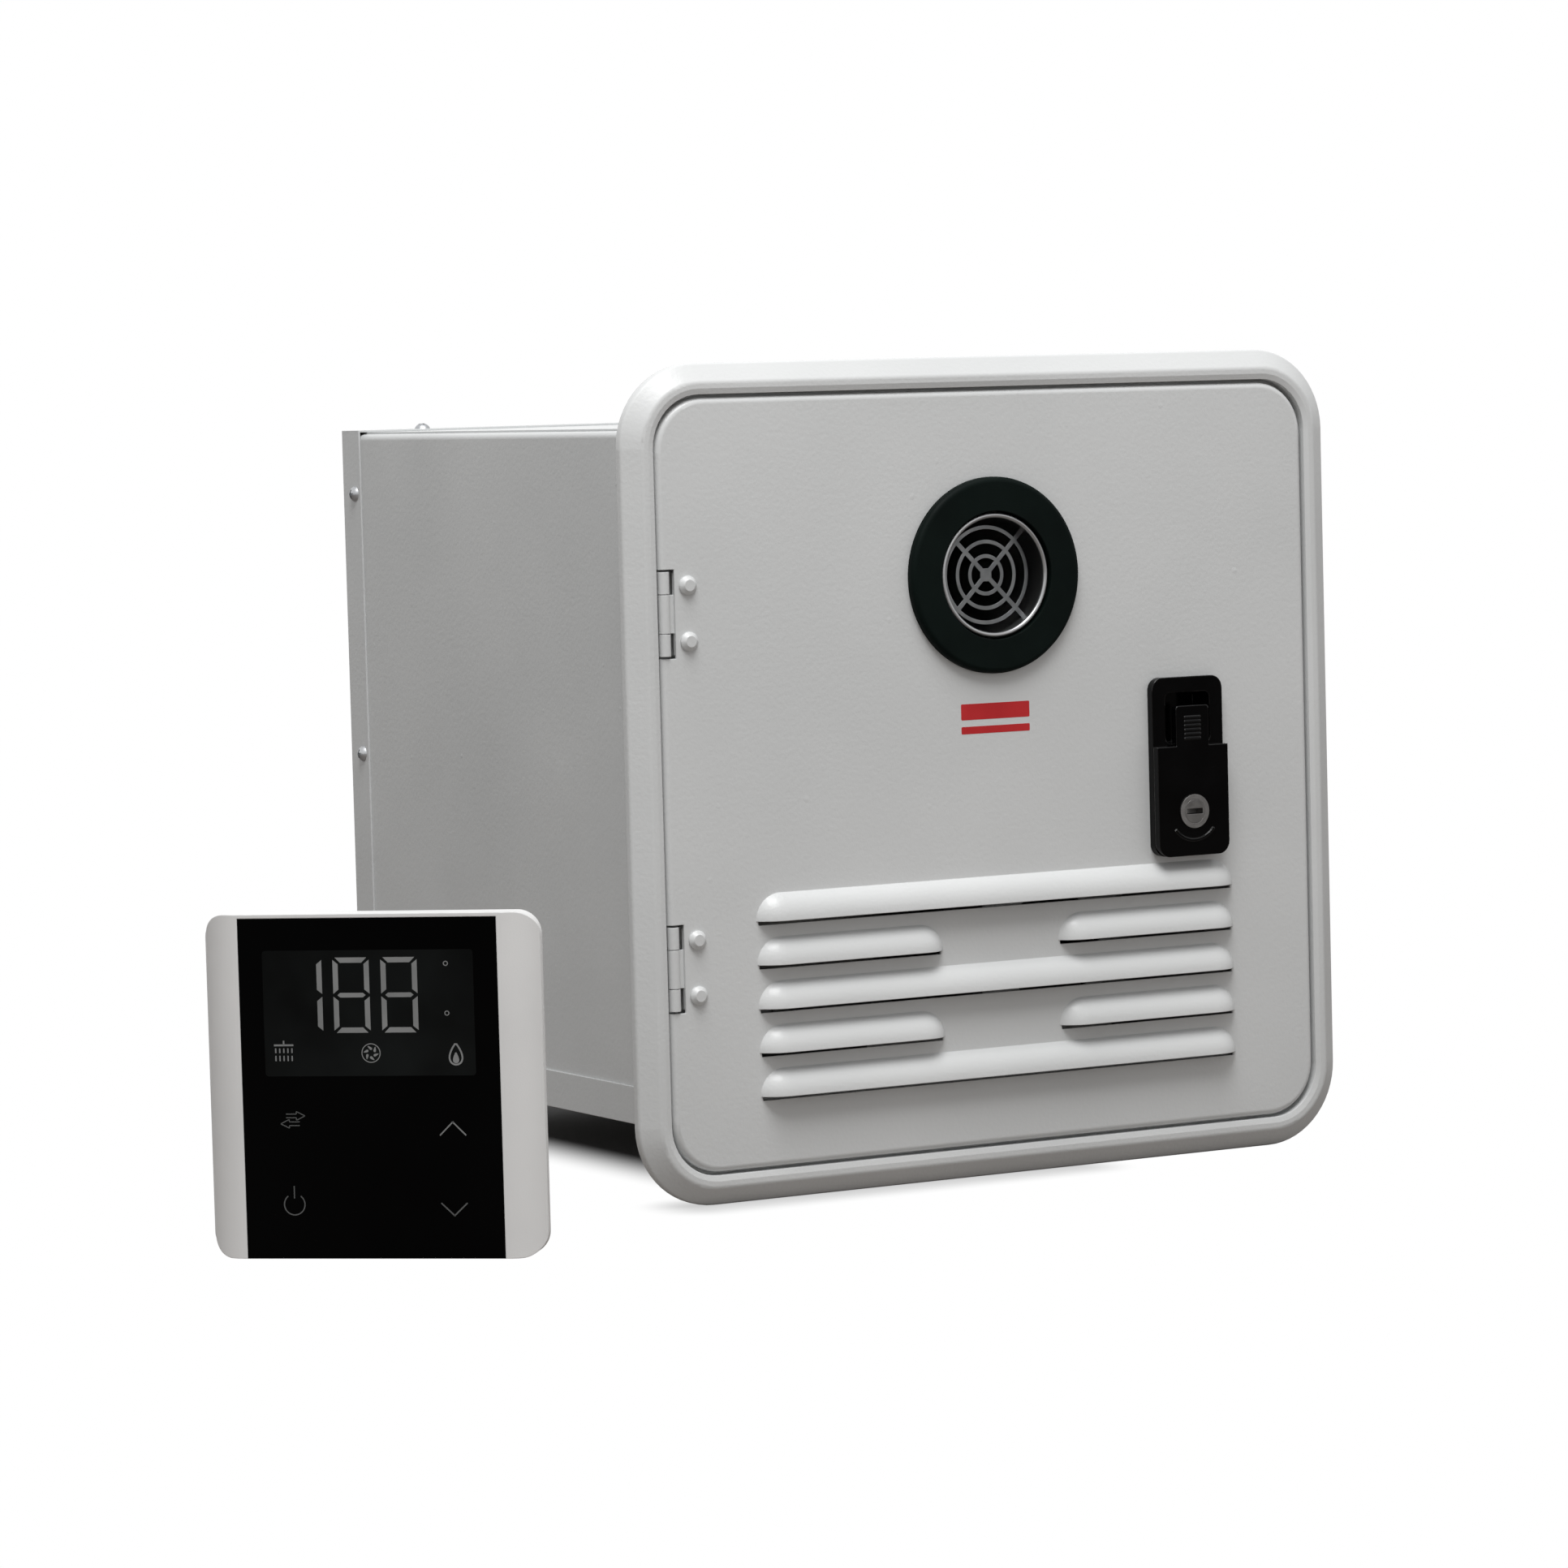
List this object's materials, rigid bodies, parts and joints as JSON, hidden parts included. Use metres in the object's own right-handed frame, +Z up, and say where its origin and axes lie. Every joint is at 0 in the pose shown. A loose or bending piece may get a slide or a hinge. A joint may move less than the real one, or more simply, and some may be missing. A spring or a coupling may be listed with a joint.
{
  "type": "caravan water heater",
  "caption": "Box-shaped gas water heater with a rounded wall frame, a hinged louvred door with a round flue outlet and a keyed latch, and a separate square wall controller.",
  "frame": {"origin": "centre of the wall frame's back face, in the plane of the wall", "axes": "+Y goes through the wall into the vehicle, the door faces -Y, +Z is up, +X is to the right of someone facing the door"},
  "size_m": [0.5851, 0.4535, 0.381],
  "materials": {
    "white_paint": "semi-gloss powder coat",
    "frame_plastic": "semi-gloss",
    "black_foam": "matte foam",
    "black_rubber": "matte",
    "zinc_plate": "zinc plated",
    "stainless": "satin",
    "stainless_bar": "satin",
    "copper": "satin copper",
    "copper_pipe": "bright copper",
    "brass": "machined",
    "aluminium": "cast",
    "black_plastic": "matte",
    "motor_black": "satin",
    "latch_plastic": "gloss",
    "grey_plastic": "matte",
    "white_plastic": "gloss",
    "ceramic": "glazed ceramic",
    "green_board": "satin",
    "glass": "clear",
    "black_glass": "mirror gloss"
  },
  "bodies": {
    "heater": {"wall_frame": "frame_plastic", "opening_seal": "black_foam", "frame_hinge_leaves": "white_paint", "hinge_pins": "zinc_plate", "side_panel_left": "white_paint", "side_panel_right": "white_paint", "top_panel": "white_paint", "base_pan": "white_paint", "rear_panel": "white_paint", "case_screws": "zinc_plate", "exhaust_tube": "stainless", "flue_grille": "stainless", "flue_hood": "stainless", "heat_exchanger": "copper", "exchanger_tubes": "copper_pipe", "combustion_chamber": "stainless", "burner_tray": "stainless", "burner_bars": "stainless_bar", "gas_manifold": "aluminium", "gas_valve": "aluminium", "valve_coils": "black_plastic", "gas_inlet_pipe": "brass", "spark_generator": "black_plastic", "electrodes": "ceramic", "sight_glass": "glass", "blower_housing": "zinc_plate", "blower_motor": "motor_black", "air_duct": "zinc_plate", "cold_inlet": "brass", "cold_pipe": "copper_pipe", "relief_valve": "brass", "flow_sensor": "black_plastic", "cold_riser": "copper_pipe", "hot_pipe": "copper_pipe", "hot_outlet": "brass", "thermal_cutouts": "black_plastic", "control_box": "grey_plastic", "control_cover": "grey_plastic", "circuit_board": "green_board", "cable_grommet": "black_rubber", "controller_back": "white_plastic", "controller_shell": "white_plastic", "controller_glass": "black_glass"},
    "door": {"door_panel": "white_paint", "flue_ring": "black_rubber", "door_hinge_leaves": "white_paint", "hinge_rivets": "white_paint", "latch_housing": "latch_plastic", "lever_pin": "zinc_plate", "bolt_guide": "zinc_plate"},
    "lever": {"latch_lever": "latch_plastic", "lock_barrel": "zinc_plate"},
    "key": {"lock_plug": "zinc_plate", "lock_cam": "zinc_plate"},
    "bolt": {"latch_bolt": "zinc_plate"},
    "impeller": {"impeller": "black_plastic"},
    "rocker": {"rocker_switch": "black_plastic"},
    "relief_handle": {"relief_lever": "zinc_plate"},
    "turbine": {"flow_turbine": "white_plastic"}
  },
  "joints": [
    {"name": "door_hinge", "type": "hinge", "parent": "heater", "child": "door", "pos_m": [-0.1722, -0.0072, 0], "axis": [0, 0, -1], "range_deg": [0, 95]},
    {"name": "lever_lift", "type": "hinge", "parent": "door", "child": "lever", "pos_m": [0.104, -0.0113, -0.043], "axis": [1, 0, 0], "range_deg": [0, 30], "stiffness_Nm_per_rad": 0.2, "springref_deg": -8.59},
    {"name": "bolt_slide", "type": "slide", "parent": "door", "child": "bolt", "axis": [-1, 0, 0], "range_m": [0, 0.006]},
    {"name": "key_turn", "type": "hinge", "parent": "lever", "child": "key", "pos_m": [0.104, -0.0113, -0.026], "axis": [0, 1, 0], "range_deg": [0, 90]},
    {"name": "impeller_spin", "type": "hinge", "parent": "heater", "child": "impeller", "pos_m": [0.065, 0.067, -0.092], "axis": [0, 1, 0], "continuous": true},
    {"name": "rocker_tilt", "type": "hinge", "parent": "heater", "child": "rocker", "pos_m": [0.134, 0.047, 0.111], "axis": [1, 0, 0], "range_deg": [-14, 0]},
    {"name": "relief_lift", "type": "hinge", "parent": "heater", "child": "relief_handle", "pos_m": [-0.118, 0.038, -0.06], "axis": [-1, 0, 0], "range_deg": [0, 80]},
    {"name": "turbine_spin", "type": "hinge", "parent": "heater", "child": "turbine", "pos_m": [-0.118, 0.075, -0.019], "axis": [0, 0, 1], "continuous": true}
  ],
  "couplings": [
    {"joint": "bolt_slide", "follows": "lever_lift", "m_per_rad": 0.0114}
  ]
}
